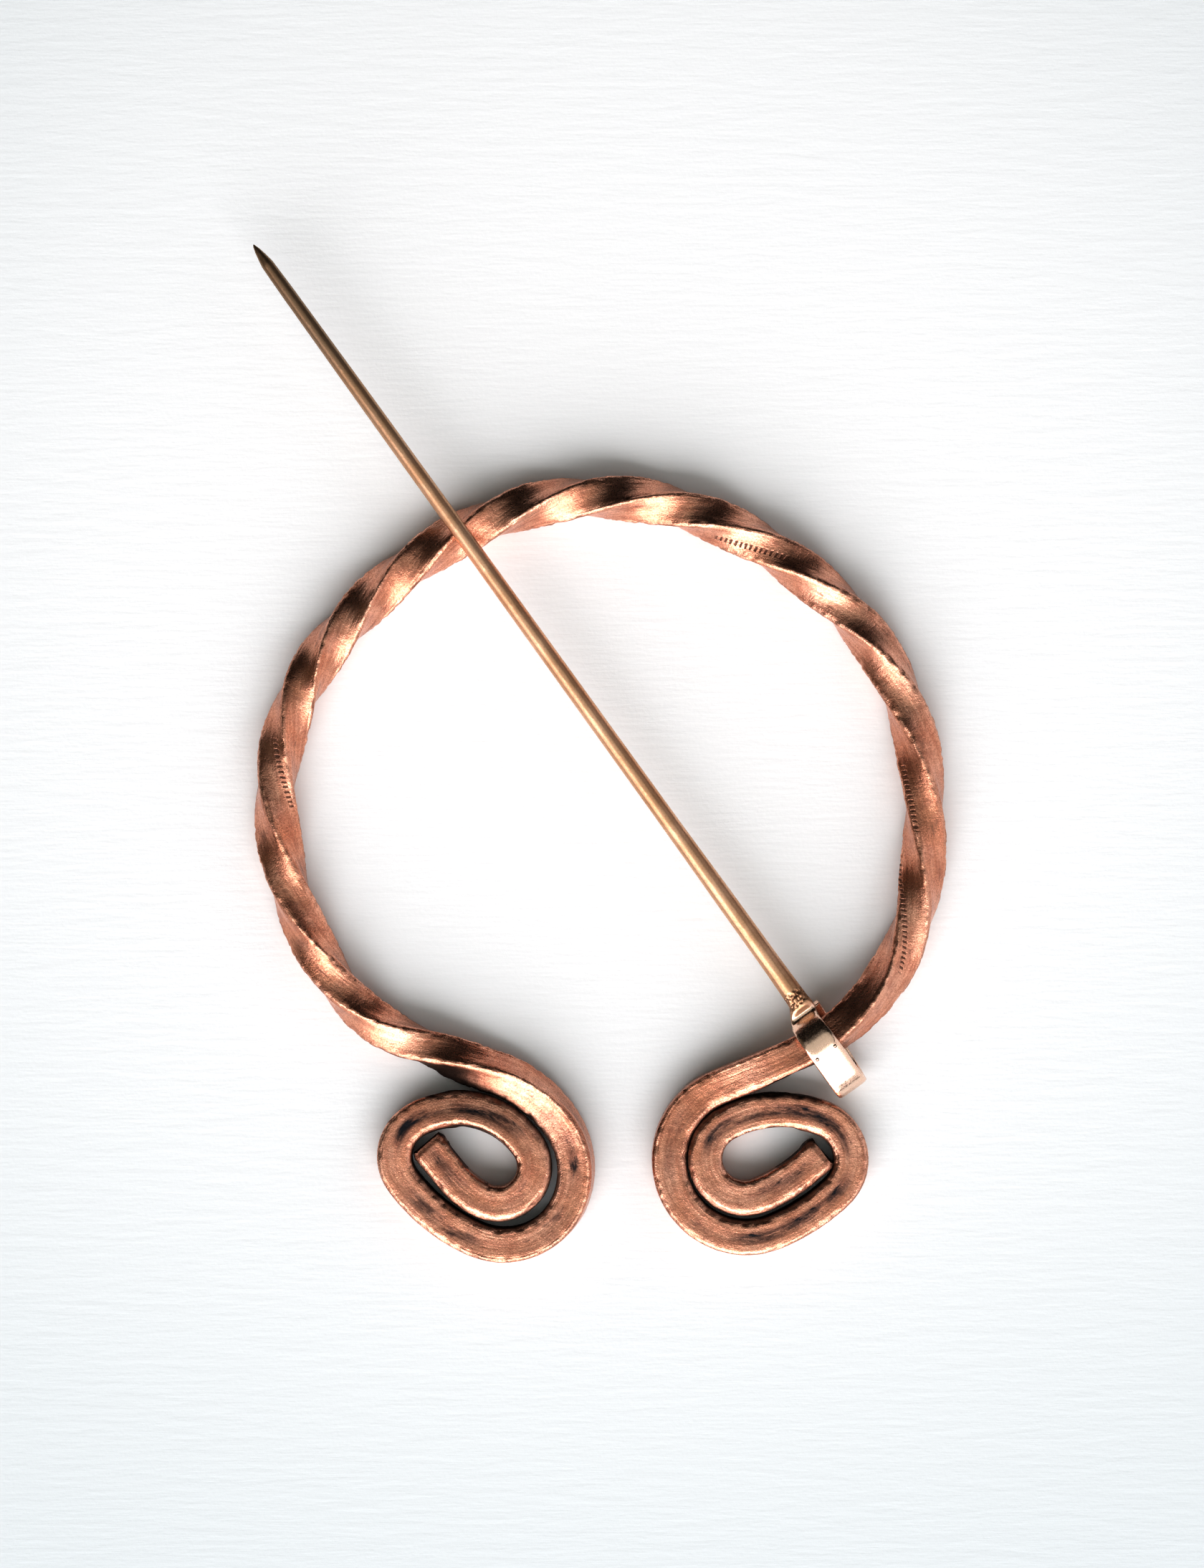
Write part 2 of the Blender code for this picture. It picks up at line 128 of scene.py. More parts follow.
# %% A tree
class Tree:
    """A node tree that is being wired, of a material or of geometry."""

    def __init__(self, tree):
        self.tree = tree
        tree.nodes.clear()

    def node(self, kind, settings=None, sockets=None, out=0):
        """Adds a node: its settings first, then its sockets' values or links. Gives one output."""
        made = self.tree.nodes.new(kind)
        for name, value in (settings or {}).items():
            setattr(made, name, value)
        for key, value in (sockets or {}).items():
            if isinstance(value, Wire):
                self.tree.links.new(value.socket, made.inputs[key])
            else:
                made.inputs[key].default_value = value
        return Wire(self, made.outputs[out]) if made.outputs else None

    def maths(self, operation, *values):
        return self.node("ShaderNodeMath", {"operation": operation}, dict(enumerate(values)))

    def noise(self, place, size, detail=2.0, roughness=0.5, seed=0.0):
        """Soft noise from about 0.3 to 0.7, with lumps of about this size in metres."""
        sockets = {"Vector": place, "W": seed, "Scale": 1.0 / size, "Detail": detail,
                   "Roughness": roughness}
        return self.node("ShaderNodeTexNoise", {"noise_dimensions": "4D"}, sockets)

    def stretched(self, place, x=1.0, y=1.0, z=1.0):
        """A place with its directions squeezed or stretched."""
        sockets = {0: place, 1: (x, y, z)}
        return self.node("ShaderNodeVectorMath", {"operation": "MULTIPLY"}, sockets)

    def distance(self, place, spot):
        """How far a place is from one spot, in metres."""
        sockets = {0: place, 1: spot}
        return self.node("ShaderNodeVectorMath", {"operation": "DISTANCE"}, sockets, "Value")

    def split(self, place):
        """A place's three numbers."""
        parts = self.node("ShaderNodeSeparateXYZ", sockets={0: place}).socket.node
        return [Wire(self, output) for output in parts.outputs]

    def blend(self, share, first, second):
        """A colour that goes from the first to the second."""
        sockets = {0: share, 6: first, 7: second}
        return self.node("ShaderNodeMix", {"data_type": "RGBA"}, sockets, out=2)


trial_group = bpy.data.node_groups.new("trial", "GeometryNodeTree")
trial = 1 - Tree(trial_group).node("ShaderNodeValue") * 2
print("1 - value * 2 made", len(trial_group.nodes), "nodes, the last is", trial.socket.node.name)
bpy.data.node_groups.remove(trial_group)

# %% [markdown]
# ## Reading the bar out of its solid
# The finer ring has to lie exactly where the solid lies. The solid is a tube of equal sections,
# so its middle line can be read from it: start at a cut end, and step from each section to the
# next along the mesh. A cut end is easy to tell. Everywhere else the faces round a corner would
# lie out nearly flat on a table, but at the end's corners their angles add up to far less.

# %% The bar's cut ends
WELD = 0.0005 * MM
NEARLY_FLAT = math.radians(340)


def joined(node):
    """A copy of a solid's mesh with its loose triangles joined."""
    mesh = bmesh.new()
    mesh.from_mesh(frame["nodes"][node].data)
    bmesh.ops.remove_doubles(mesh, verts=mesh.verts, dist=WELD)
    return mesh


def angle_sum(vertex):
    """The angles of all faces round a corner."""
    return sum(loop.calc_angle() for loop in vertex.link_loops)


bar_solid = joined("ring")
at_ends = [vertex for vertex in bar_solid.verts if angle_sum(vertex) < NEARLY_FLAT]
left_end = [vertex for vertex in at_ends if vertex.co.x < 0]
right_end = [vertex for vertex in at_ends if vertex.co.x > 0]
print("corners at the bar's two ends:", len(left_end), len(right_end))

# %% [markdown]
# All the points that are one edge away, and haven't been passed yet, are the next section.

# %% Sections in order
def places(vertices):
    return np.array([vertex.co[:] for vertex in vertices])


def sections_between(first, last):
    """A tube's sections in order, from its first cut end to its last."""
    rows = [set(first)]
    seen = set(first)
    while not rows[-1] & set(last):
        beyond = {edge.other_vert(vertex) for vertex in rows[-1] for edge in vertex.link_edges}
        rows.append(beyond - seen)
        seen |= beyond
    return [places(row) for row in rows[:-1]] + [places(last)]


bar_sections = np.array(sections_between(right_end, left_end)[::-1])
bar_solid.free()
print("sections:", len(bar_sections))

# %% [markdown]
# A section's middle is the mean of its corners. Its turn is measured from level. A square looks
# the same after a quarter turn, so four times the angle is unrolled and then divided by four. The
# corners lie an eighth of a turn from the middles of the sides, which the minus sign takes off.

# %% Middle line, thickness and twist
bar_middles = bar_sections.mean(axis=1)
steps = np.linalg.norm(np.diff(bar_middles, axis=0), axis=1)
bar_along = np.concatenate([[0.0], np.cumsum(steps)])
forward = np.gradient(bar_middles, bar_along, axis=0)
forward /= np.linalg.norm(forward, axis=1)[:, None]
level = np.cross((0.0, 0.0, 1.0), forward)
level /= np.linalg.norm(level, axis=1)[:, None]
upright = np.cross(forward, level)
corners = bar_sections - bar_middles[:, None]
angles = np.arctan2((corners * upright[:, None]).sum(2), (corners * level[:, None]).sum(2))
bar_turn = np.unwrap(np.angle(-np.exp(4j * angles).sum(axis=1))) / 4
facing = np.cos(bar_turn)[:, None] * level + np.sin(bar_turn)[:, None] * upright
bar_side = 2 * (corners * facing[:, None]).sum(2).max(axis=1)
print("bar length in mm:", in_mm(bar_along[-1], 1))
print("thickness in mm:", in_mm(bar_side.min()), "to", in_mm(bar_side.max()))
print("turns of twist:", round(float(np.ptp(bar_turn)) / math.tau, 2))

# %% [markdown]
# ## The ring
# The smith draws down a square bar, twists its middle and bends it. The fine ring is made in the
# same way: a square section with cut corners is swept along the middle line and turned with the
# twist. Curve to Mesh does that, and it copies what is stored on the line and on the section to
# the mesh. So every point of the metal still knows its place on the straight bar, and tool marks
# can follow the bar through its bends.

# %% The middle line as an edge mesh
def placed(name, data):
    """A new object in the scene."""
    thing = bpy.data.objects.new(name, data)
    bpy.context.scene.collection.objects.link(thing)
    return thing


def keep_numbers(mesh, **lists):
    """Stores named numbers on a mesh, one for each of its points."""
    for name, numbers in lists.items():
        mesh.attributes.new(name, "FLOAT", "POINT").data.foreach_set("value", numbers)


line_mesh = bpy.data.meshes.new("bar_line")
links = [(i, i + 1) for i in range(len(bar_middles) - 1)]
line_mesh.from_pydata(bar_middles.tolist(), links, [])
keep_numbers(line_mesh, turn=bar_turn, side=bar_side)
bar_line = placed("bar_line", line_mesh)
print("points on the bar's middle line:", len(line_mesh.vertices))

# %% [markdown]
# The forging is a tree of nodes with its sizes as inputs. Hand work leaves the faces wavy and a
# little hollow, and the corners bruised. The handled edges are worn to shoulders, and the walls
# that stand upright swell a little as the bar is bent, which smiths call upsetting. All the rest
# is cut inwards, so that the ring stays inside its solid's box.

# %% Inputs of the forging
NUMBER, WHOLE, METAL = "NodeSocketFloat", "NodeSocketInt", "NodeSocketMaterial"


def new_geometry_tree(name, inputs):
    """A geometry tree with named inputs, given as {name: (kind of socket, value)}."""
    group = bpy.data.node_groups.new(name, "GeometryNodeTree")
    group.interface.new_socket("Geometry", in_out="INPUT", socket_type="NodeSocketGeometry")
    for title, (kind, value) in inputs.items():
        socket = group.interface.new_socket(title, in_out="INPUT", socket_type=kind)
        if value is not None:
            socket.default_value = value
    group.interface.new_socket("Geometry", in_out="OUTPUT", socket_type="NodeSocketGeometry")
    return Tree(group)


def inputs_of(tree):
    """The tree's own inputs as wires, by name."""
    given = tree.node("NodeGroupInput").socket.node
    return {socket.name: Wire(tree, socket) for socket in given.outputs if socket.name}


forging = new_geometry_tree("forged_bar", {
    "Step": (NUMBER, 0.18 * MM),
    "Corner cut": (NUMBER, 0.065),
    "Points round": (WHOLE, 60),
    "Waviness": (NUMBER, 0.035 * MM),
    "Hollow": (NUMBER, 0.05 * MM),
    "Bruises": (NUMBER, 0.15 * MM),
    "Worn shoulders": (NUMBER, 0.045 * MM),
    "Upset": (NUMBER, 0.09 * MM),
    "Seed": (NUMBER, 4.0),
    "Metal": (METAL, None),
})
size = inputs_of(forging)
print("inputs of the forging:", list(size))

# %% [markdown]
# The line is smoothed, cut to even steps and given the bar's turn as its tilt. The section is a
# square of one unit, so that it can be scaled by the bar's thickness. Each corner is cut once and
# then rounded a little more.

# %% The line and the section
CORNER_ROUNDING = 0.035
CORNER_STEPS = 3


def stored(tree, geometry, name, value, kind="FLOAT"):
    """The geometry with a value stored on its points under a name."""
    settings = {"data_type": kind, "domain": "POINT"}
    sockets = {"Geometry": geometry, "Name": name, "Value": value}
    return tree.node("GeometryNodeStoreNamedAttribute", settings, sockets)


def named(tree, name, kind="FLOAT"):
    """What was stored under a name."""
    return tree.node("GeometryNodeInputNamedAttribute", {"data_type": kind}, {"Name": name})


line = forging.node("GeometryNodeMeshToCurve", {}, {"Mesh": size["Geometry"]})
line = forging.node("GeometryNodeCurveSplineType", {"spline_type": "CATMULL_ROM"}, {"Curve": line})
line = forging.node("GeometryNodeResampleCurve", {"mode": "LENGTH"},
                    {"Curve": line, "Length": size["Step"]})
line = stored(forging, line, "along", forging.node("GeometryNodeSplineParameter", out="Length"))
tilt = named(forging, "turn")
line = forging.node("GeometryNodeSetCurveTilt", {}, {"Curve": line, "Tilt": tilt})
line = forging.node("GeometryNodeSetCurveNormal", {"mode": "Z_UP"}, {"Curve": line})
section = forging.node("GeometryNodeCurvePrimitiveQuadrilateral", {},
                       {"Width": 1.0, "Height": 1.0})
for count, radius in ((1, size["Corner cut"]), (CORNER_STEPS, CORNER_ROUNDING)):
    section = forging.node("GeometryNodeFilletCurve", {"mode": "POLY"},
                           {"Curve": section, "Count": count, "Radius": radius})
section = forging.node("GeometryNodeResampleCurve", {"mode": "COUNT"},
                       {"Curve": section, "Count": size["Points round"]})
on_section = forging.node("GeometryNodeInputPosition")
section = stored(forging, section, "in_section", on_section, "FLOAT_VECTOR")
print("nodes so far:", len(forging.tree.nodes))

# %% [markdown]
# Near each cut end the section shrinks a little, which breaks the sharp rim as a few file strokes
# would. Then the section is swept. Where a point is near two sides of the square at once, it is
# on a cut corner, and that gives a mask for the worn edges. The square's sides lie half a unit
# from its middle, and all places on the section are in those units.

# %% The sweep
RIM_LENGTH, RIM_SCALE = 0.45 * MM, 0.9
EDGE_STARTS, EDGE_FULL = 0.39, 0.43

from_start = named(forging, "along")
whole_length = forging.node("GeometryNodeSplineLength")
to_an_end = forging.maths("MINIMUM", from_start, whole_length - from_start)
scale = named(forging, "side") * to_an_end.from_to(0.0, RIM_LENGTH, RIM_SCALE, 1.0)
bar = forging.node("GeometryNodeCurveToMesh", {},
                   {"Curve": line, "Profile Curve": section, "Scale": scale, "Fill Caps": True})
across = forging.split(named(forging, "in_section", "FLOAT_VECTOR"))
off_middle = forging.maths("MINIMUM", abs(across[0]), abs(across[1]))
edge = off_middle.from_to(EDGE_STARTS, EDGE_FULL)
bar = stored(forging, bar, "edge", edge)
print("nodes so far:", len(forging.tree.nodes))

# %% [markdown]
# Each blow of the hammer moves the skin a little. Here each kind of wear is a depth in metres,
# made from noise of its own size or from the place on the section. The depths are added up, and
# every point moves in by the sum along its normal. The swelling is taken off that sum, so it
# moves the upright walls out again.

# %% Waves, hollows, bruises and worn shoulders
WAVE_SIZE, DENT_SIZE, BRUISE_SIZE = 4.5 * MM, 1.3 * MM, 0.6 * MM
DENTS_TO_WAVES = 1.5
FACE_HALF = 0.38
SHOULDER_STARTS, SHOULDER_FULL = 0.24, 0.42
UPRIGHT, SLOPING = 0.2, 0.6

here = forging.node("GeometryNodeInputPosition")
normal = forging.node("GeometryNodeInputNormal")
waves = forging.noise(here, WAVE_SIZE, 1.0, seed=size["Seed"]) * size["Waviness"]
dents = forging.noise(here, DENT_SIZE, 1.0, seed=size["Seed"] + 3)
dents = dents * size["Waviness"] * DENTS_TO_WAVES
hollow = (1 - (off_middle / FACE_HALF) ** 2) * size["Hollow"] * (1 - edge)
shoulders = off_middle.from_to(SHOULDER_STARTS, SHOULDER_FULL) * size["Worn shoulders"]
bruises = forging.noise(here, BRUISE_SIZE, 3.0, 0.6, size["Seed"] + 7).from_to(0.4, 0.7)
bruises = bruises * edge * size["Bruises"]
wall = 1 - abs(forging.split(normal)[2]).from_to(UPRIGHT, SLOPING)
depth = waves + dents + hollow + shoulders + bruises - wall * size["Upset"]
inward = forging.node("ShaderNodeVectorMath", {"operation": "SCALE"},
                      {0: normal, "Scale": depth * -1})
bar = forging.node("GeometryNodeSetPosition", {}, {"Geometry": bar, "Offset": inward})
print("nodes so far:", len(forging.tree.nodes))

# %% [markdown]
# The tree ends in Realize Instances and Set Material, so that what comes out of it is a real
# mesh with its metal on it.

# %% The forging's last nodes
def new_material(name):
    material = bpy.data.materials.new(name)
    material.use_nodes = True
    return material


def finish_tree(tree, geometry, metal):
    geometry = tree.node("GeometryNodeSetShadeSmooth", {"domain": "FACE"},
                         {"Geometry": geometry, "Shade Smooth": True})
    geometry = tree.node("GeometryNodeRealizeInstances", {}, {"Geometry": geometry})
    geometry = tree.node("GeometryNodeSetMaterial", {}, {"Geometry": geometry, "Material": metal})
    tree.node("NodeGroupOutput", {}, {"Geometry": geometry})


copper = new_material("old_copper")
finish_tree(forging, bar, size["Metal"])
print("nodes in the forging:", len(forging.tree.nodes))

# %% [markdown]
# A modifier runs the tree. Its inputs are set by their sockets' identifiers, before the object is
# first evaluated. Then the result is taken as a plain mesh, because a part is kept as meshes and
# not as recipes.

# %% Making the ring
def result_mesh(thing):
    """What an object's modifiers make of it, as a plain mesh."""
    graph = bpy.context.evaluated_depsgraph_get()
    return bpy.data.meshes.new_from_object(thing.evaluated_get(graph))


def made_by(tree, start, name, **values):
    """Runs a tree on an object and gives its result as a plain mesh object."""
    modifier = start.modifiers.new(name, "NODES")
    modifier.node_group = tree.tree
    identifiers = {item.name: item.identifier for item in tree.tree.interface.items_tree}
    for title, value in values.items():
        modifier[identifiers[title]] = value
    mesh = result_mesh(start)
    mesh.name = name
    start.modifiers.remove(modifier)
    bpy.data.objects.remove(start)
    return placed(name, mesh)


def triangles(piece):
    return sum(len(polygon.vertices) - 2 for polygon in piece.data.polygons)


ring = made_by(forging, bar_line, "twisted_ring", Metal=copper)
print("ring:", triangles(ring), "triangles")

# %% [markdown]
# Where the swelling would pass the solid's own box, the points are held at the box.

# %% Inside the box
def vectors(mesh, kind):
    """Each point's "co", which is its place, or its "normal"."""
    flat = np.empty(len(mesh.vertices) * 3)
    mesh.vertices.foreach_get(kind, flat)
    return flat.reshape(-1, 3)


def move_points(piece, spots):
    piece.data.vertices.foreach_set("co", spots.ravel())
    piece.data.update()


def keep_inside(piece, node):
    """Holds a piece's points in its solid's box. Gives the farthest that one was moved."""
    low, high = (np.array(corner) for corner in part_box(node))
    before = vectors(piece.data, "co")
    inside = np.clip(before, low, high)
    move_points(piece, inside)
    return float(np.abs(inside - before).max())


print("the ring was held back by at most", in_mm(keep_inside(ring, "ring"), 3), "mm")

# %% [markdown]
# The walls between two turns of a coil get painted shade: their colour is made nearly black where
# they face another turn closely. To find them, the ring's points are read with their normals and
# their places along the bar.

# %% The ring's points
def soft_step(value, low, high):
    """Runs smoothly from zero to one as the value goes from low to high."""
    share = np.clip((value - low) / (high - low), 0, 1)
    return share * share * (3 - 2 * share)


spots, facing_way = vectors(ring.data, "co"), vectors(ring.data, "normal")
spot_along = np.empty(len(spots))
ring.data.attributes["along"].data.foreach_get("value", spot_along)
print("points on the ring:", len(spots))

# %% [markdown]
# Each point of a wall looks for the nearest bit of another turn, and gets painted shade in its
# colour if it faces that turn closely. A bit of bar that is near along the bar belongs to the
# point's own turn, so it is taken as far away. The points come in batches, because all distances
# at once would need a great deal of memory.

# %% Walls with painted shade
OWN_TURN, FAR_AWAY = 9 * MM, 1.0
BATCHES = 24
FACING_STARTS, FACING_FULL = 0.1, 0.6
FULL_SHADE_GAP, OPEN_GAP = 2.0 * MM, 7.0 * MM
TOUCHING_GAP, APART_GAP = 1.1 * MM, 2.3 * MM

shelter, nearly_touching = np.zeros(len(spots)), np.zeros(len(spots))
for batch in np.array_split(np.arange(len(spots)), BATCHES):
    to_middles = bar_middles[None] - spots[batch][:, None]
    away = np.linalg.norm(to_middles, axis=2)
    away[np.abs(bar_along[None] - spot_along[batch][:, None]) < OWN_TURN] = FAR_AWAY
    nearest = away.argmin(axis=1)
    gap = away.min(axis=1) - bar_side[nearest] / 2
    towards_it = to_middles[np.arange(len(batch)), nearest] / away.min(axis=1)[:, None]
    faces_it = (facing_way[batch] * towards_it).sum(axis=1)
    faces_it = soft_step(faces_it, FACING_STARTS, FACING_FULL)
    shelter[batch] = faces_it * (1 - soft_step(gap, FULL_SHADE_GAP, OPEN_GAP))
    nearly_touching[batch] = faces_it * (1 - soft_step(gap, TOUCHING_GAP, APART_GAP))
# These shares say where shade is painted into the copper's colour, on walls close to another turn.
keep_numbers(ring.data, sheltered=shelter)
print("points on sheltered walls:", int((shelter > 0.5).sum()))

# %% [markdown]
# A coil is closed with the last blows, and its walls spread a little where they nearly meet.

# %% Walls spread towards each other
SPREAD, FULL_SPREAD_AT = 0.16 * MM, 0.8

level_way = facing_way * (1.0, 1.0, 0.0)
spread = soft_step(nearly_touching, 0.0, FULL_SPREAD_AT) * SPREAD
move_points(ring, spots + level_way * spread[:, None])
keep_inside(ring, "ring")
print("walls spread by at most", in_mm(spread.max()), "mm")

# %% [markdown]
# ## The pin
# The pin is a wire drawn to a point, with its head beaten to a strip and wrapped round the bar.
# Its form is smooth and bulky, without the long sharp edges of the ring, so here the solid itself
# is refined: a voxel remesh gives it an even skin, and smoothing takes off its facets.

# %% The pin's even skin
VOXEL = 0.095 * MM


def with_modifier(piece, kind, **settings):
    """Puts one modifier's result in place of a piece's mesh."""
    modifier = piece.modifiers.new(kind.lower(), kind)
    for name, value in settings.items():
        setattr(modifier, name, value)
    mesh = result_mesh(piece)
    piece.modifiers.remove(modifier)
    piece.data = mesh


pin_solid = joined("pin")
pin_mesh = bpy.data.meshes.new("hammered_pin")
pin_solid.to_mesh(pin_mesh)
pin_solid.free()
pin = placed("hammered_pin", pin_mesh)
with_modifier(pin, "REMESH", mode="VOXEL", voxel_size=VOXEL, use_smooth_shade=True)
with_modifier(pin, "SMOOTH", factor=0.5, iterations=8)
print("pin:", triangles(pin), "triangles")

# %% [markdown]
# Relief on the pin is worked out point by point, in the pin's own directions. These are read from
# the solid: the wire runs from the hinge, in the middle of the loop, to the farthest point.

# %% The pin's own directions
hinge = np.array(frame["joints"][0]["pos_m"])
points = vectors(pin.data, "co")
tip = points[np.argmax(np.linalg.norm(points - hinge, axis=1))]
pin_forward = (tip - hinge) / np.linalg.norm(tip - hinge)
pin_across = np.cross(pin_forward, (0.0, 0.0, 1.0))
pin_across /= np.linalg.norm(pin_across)
pin_up = np.cross(pin_across, pin_forward)
local = (points - hinge) @ np.array([pin_forward, pin_across, pin_up]).T
print("pin from its hinge to its tip in mm:", in_mm(local[:, 0].max(), 1))

# %% [markdown]
# Where the wire meets the strip, the smith cut it down with a chisel, which left a small rough
# facet with a raised lip. Its points are moved one by one. The facet's ends are in millimetres
# from the hinge, and the pits, crumbs and lip in millimetres of height.

# %% The cut facet
from mathutils import Vector, noise

FACET_START, FACET_END = 3.7, 5.0
FACET_SOFT, LIP_SOFT = 0.12, 0.1
PIT_SIZE, CRUMB_SIZE = 0.34 * MM, 0.24 * MM
PIT_HEIGHT, CRUMB_DEPTH = 0.16, 0.30
LIP_HEIGHT, LIP_CRUMBS = 0.04, 0.20
WORTH_MOVING = 0.01


def window(value, start, end, soft):
    """One between two places given in millimetres, and zero outside them."""
    rise = soft_step(value, (start - soft) * MM, (start + soft) * MM)
    return rise * (1 - soft_step(value, (end - soft) * MM, (end + soft) * MM))


outward = vectors(pin.data, "normal")
on_top = np.clip(outward @ pin_up * 2 - 0.6, 0, 1)
facet = window(local[:, 0], FACET_START, FACET_END, FACET_SOFT) * on_top
lips = window(local[:, 0], FACET_END, FACET_END, LIP_SOFT) * on_top
lift = np.zeros(len(points))
for i in np.flatnonzero((facet > WORTH_MOVING) | (lips > WORTH_MOVING)):
    pits = noise.noise(Vector(points[i] / PIT_SIZE))
    crumbs = abs(noise.noise(Vector(points[i] / CRUMB_SIZE)))
    pitted = facet[i] * (PIT_HEIGHT * pits - CRUMB_DEPTH * crumbs) * MM
    lift[i] = pitted + lips[i] * (LIP_HEIGHT - LIP_CRUMBS * crumbs) * MM
move_points(pin, points + outward * lift[:, None])
keep_inside(pin, "pin")
print("points moved on the pin:", int((np.abs(lift) > 0).sum()))

# %% [markdown]
# The pin's finish has to follow the wire, so each point keeps its place in the pin's directions.

# %% The pin's own place for each point
keep_numbers(pin.data, pin_along=local[:, 0], pin_across=local[:, 1], pin_up=local[:, 2])
bronze = new_material("old_bronze")
pin.data.materials.append(bronze)
print("numbers stored on the pin:", [name for name in pin.data.attributes.keys() if "pin" in name])

# %% [markdown]
# ## Copper
# Old copper is a pinkish brown metal with a satin skin. Rubbing keeps the edges bright, and a
# blue-black oxide stays in the middle of the faces, where nothing touches it. One colour would
# look like plastic, so its colour, gloss and fine relief all vary. The relief's heights are true
# sizes, because the Bump node's distance is one.

# %% Any surface's first and last nodes
def object_place(tree):
    return tree.node("ShaderNodeTexCoord", out="Object")


def attribute(tree, name, out="Fac"):
    """What was stored on the mesh under a name."""
    return tree.node("ShaderNodeAttribute", {"attribute_name": name}, out=out)


def finish_surface(tree, colour, roughness, height, metallic=1.0):
    bump = tree.node("ShaderNodeBump", {}, {"Strength": 1.0, "Distance": 1.0, "Height": height})
    shader = tree.node("ShaderNodeBsdfPrincipled", {},
                       {"Base Color": colour, "Roughness": roughness, "Metallic": metallic,
                        "Normal": bump})
    tree.node("ShaderNodeOutputMaterial", {}, {"Surface": shader})


skin = Tree(copper.node_tree)
place = object_place(skin)
print("nodes so far:", len(skin.tree.nodes))

# %% [markdown]
# The sweep has left each point's place on the straight bar, and with it a mark can be put at so
# many millimetres from the left end, on any side of the bar.

# %% Places on the bar
def stretch_of(value, start, end, soft):
    """One between two places given in millimetres, and zero outside them."""
    rise = value.from_to((start - soft) * MM, (start + soft) * MM)
    return rise * (1 - value.from_to((end - soft) * MM, (end + soft) * MM))


edge = attribute(skin, "edge")
along = attribute(skin, "along")
across = skin.split(attribute(skin, "in_section", "Vector"))
off_middle = skin.maths("MINIMUM", abs(across[0]), abs(across[1]))
print("nodes so far:", len(skin.tree.nodes))

# %% [markdown]
# Lumps of several sizes are mixed, from clouds of colour down to single grains. Drawing a bar out
# leaves fine lines along it, and the hammer leaves ripples across it. Both are noise that is
# stretched in the bar's own directions, so they follow it round each bend. There the section's
# unit stands for three millimetres, about the bar's thickness.

# %% Patterns on the copper
SECTION_UNIT = 3 * MM

on_bar = skin.node("ShaderNodeCombineXYZ", {},
                   {0: along, 1: across[0] * SECTION_UNIT, 2: across[1] * SECTION_UNIT})
clouds = skin.noise(place, 5 * MM, 4.0, 0.6, 1.0)
mottle = skin.noise(place, 1.1 * MM, 5.0, 0.65, 2.0)
grain = skin.noise(place, 0.13 * MM, 3.0, 0.6, 3.0)
drawn = skin.noise(skin.stretched(on_bar, x=0.06), 0.24 * MM, 3.0, 0.6, 4.0)
streaks = skin.noise(skin.stretched(on_bar, x=0.3), 1.3 * MM, 5.0, 0.68, 5.0)
ripples = skin.noise(skin.stretched(on_bar, y=0.12, z=0.12), 0.22 * MM, 2.0, 0.6, 6.0)
print("nodes so far:", len(skin.tree.nodes))

# %% [markdown]
# The oxide lies in bands along the middle of the coils' faces. The numbers say where each band
# starts and ends, in millimetres along the bar, and how dark it is. Thinner streaks of it stray
# over the whole bar.

# %% Oxide
OXIDE_BANDS = ((0.5, 6.0, 0.6), (17.0, 29.5, 1.0), (33.5, 41.0, 0.8), (52.0, 60.0, 0.35),
               (222.0, 228.0, 0.35), (235.0, 247.0, 0.85), (249.0, 265.0, 0.9),
               (272.0, 277.5, 0.55))
BAND_SOFT = 1.5
STRAY_SHARE = 0.62

banded = sum(stretch_of(along, start, end, BAND_SOFT) * dark for start, end, dark in OXIDE_BANDS)
in_band = banded * (1 - off_middle.from_to(0.06, 0.27)) * streaks.from_to(0.36, 0.56)
stray = streaks.from_to(0.56, 0.68) * (1 - off_middle.from_to(0.15, 0.36))
oxide = skin.maths("MINIMUM", in_band + stray * STRAY_SHARE, 1.0)
print("nodes so far:", len(skin.tree.nodes))

# %% [markdown]
# Pliers or a file left rows of short dark strokes across the bar. Each row is given by where it
# starts and ends along the bar, and by its two places in the square section. The strokes are a
# wave along the bar, which the noise bends and breaks up.

# %% Rows of tool marks
TOOL_ROWS = ((97.6, 103.8, (0.33, -0.5), (0.11, -0.5)),
             (151.6, 158.0, (-0.5, -0.08), (-0.5, -0.08)),
             (180.0, 186.0, (-0.26, 0.5), (-0.4, 0.5)),
             (188.6, 198.6, (-0.5, -0.5), (-0.5, -0.06)))
ROW_SOFT = 0.5
STROKE_REACH, STROKE_FADE = 0.05, 0.10
STROKE_SPACING = 0.45 * MM


def tool_row(start, end, first, last):
    """One where a row of marks is, and zero elsewhere."""
    share = (along - start * MM) / ((end - start) * MM)
    x = across[0] - (first[0] + share * (last[0] - first[0]))
    y = across[1] - (first[1] + share * (last[1] - first[1]))
    reach = skin.maths("SQRT", x ** 2 + y ** 2)
    return stretch_of(along, start, end, ROW_SOFT) * (1 - reach.from_to(STROKE_REACH, STROKE_FADE))


wave = along * (math.tau / STROKE_SPACING) + mottle * 5 + grain * 2
marks = sum(tool_row(*row) for row in TOOL_ROWS) * skin.maths("COSINE", wave).from_to(-0.1, 0.6)
print("nodes so far:", len(skin.tree.nodes))

# %% [markdown]
# Some stretches of the bar have rough, crumbling edges. They are written as the oxide is: where
# each starts and ends in millimetres along the bar, and how rough it is.

# %% Crumbling edges and walls with painted shade
ROUGH_EDGES = ((40.0, 63.0, 1.0), (104.0, 112.0, 0.7), (118.0, 124.0, 0.6),
               (140.0, 150.0, 0.5), (212.0, 226.0, 1.0))
ROUGH_SOFT = 2.0

rough = sum(stretch_of(along, start, end, ROUGH_SOFT) * much for start, end, much in ROUGH_EDGES)
crumbly = edge * (0.5 + rough)
sheltered = attribute(skin, "sheltered")
print("nodes so far:", len(skin.tree.nodes))

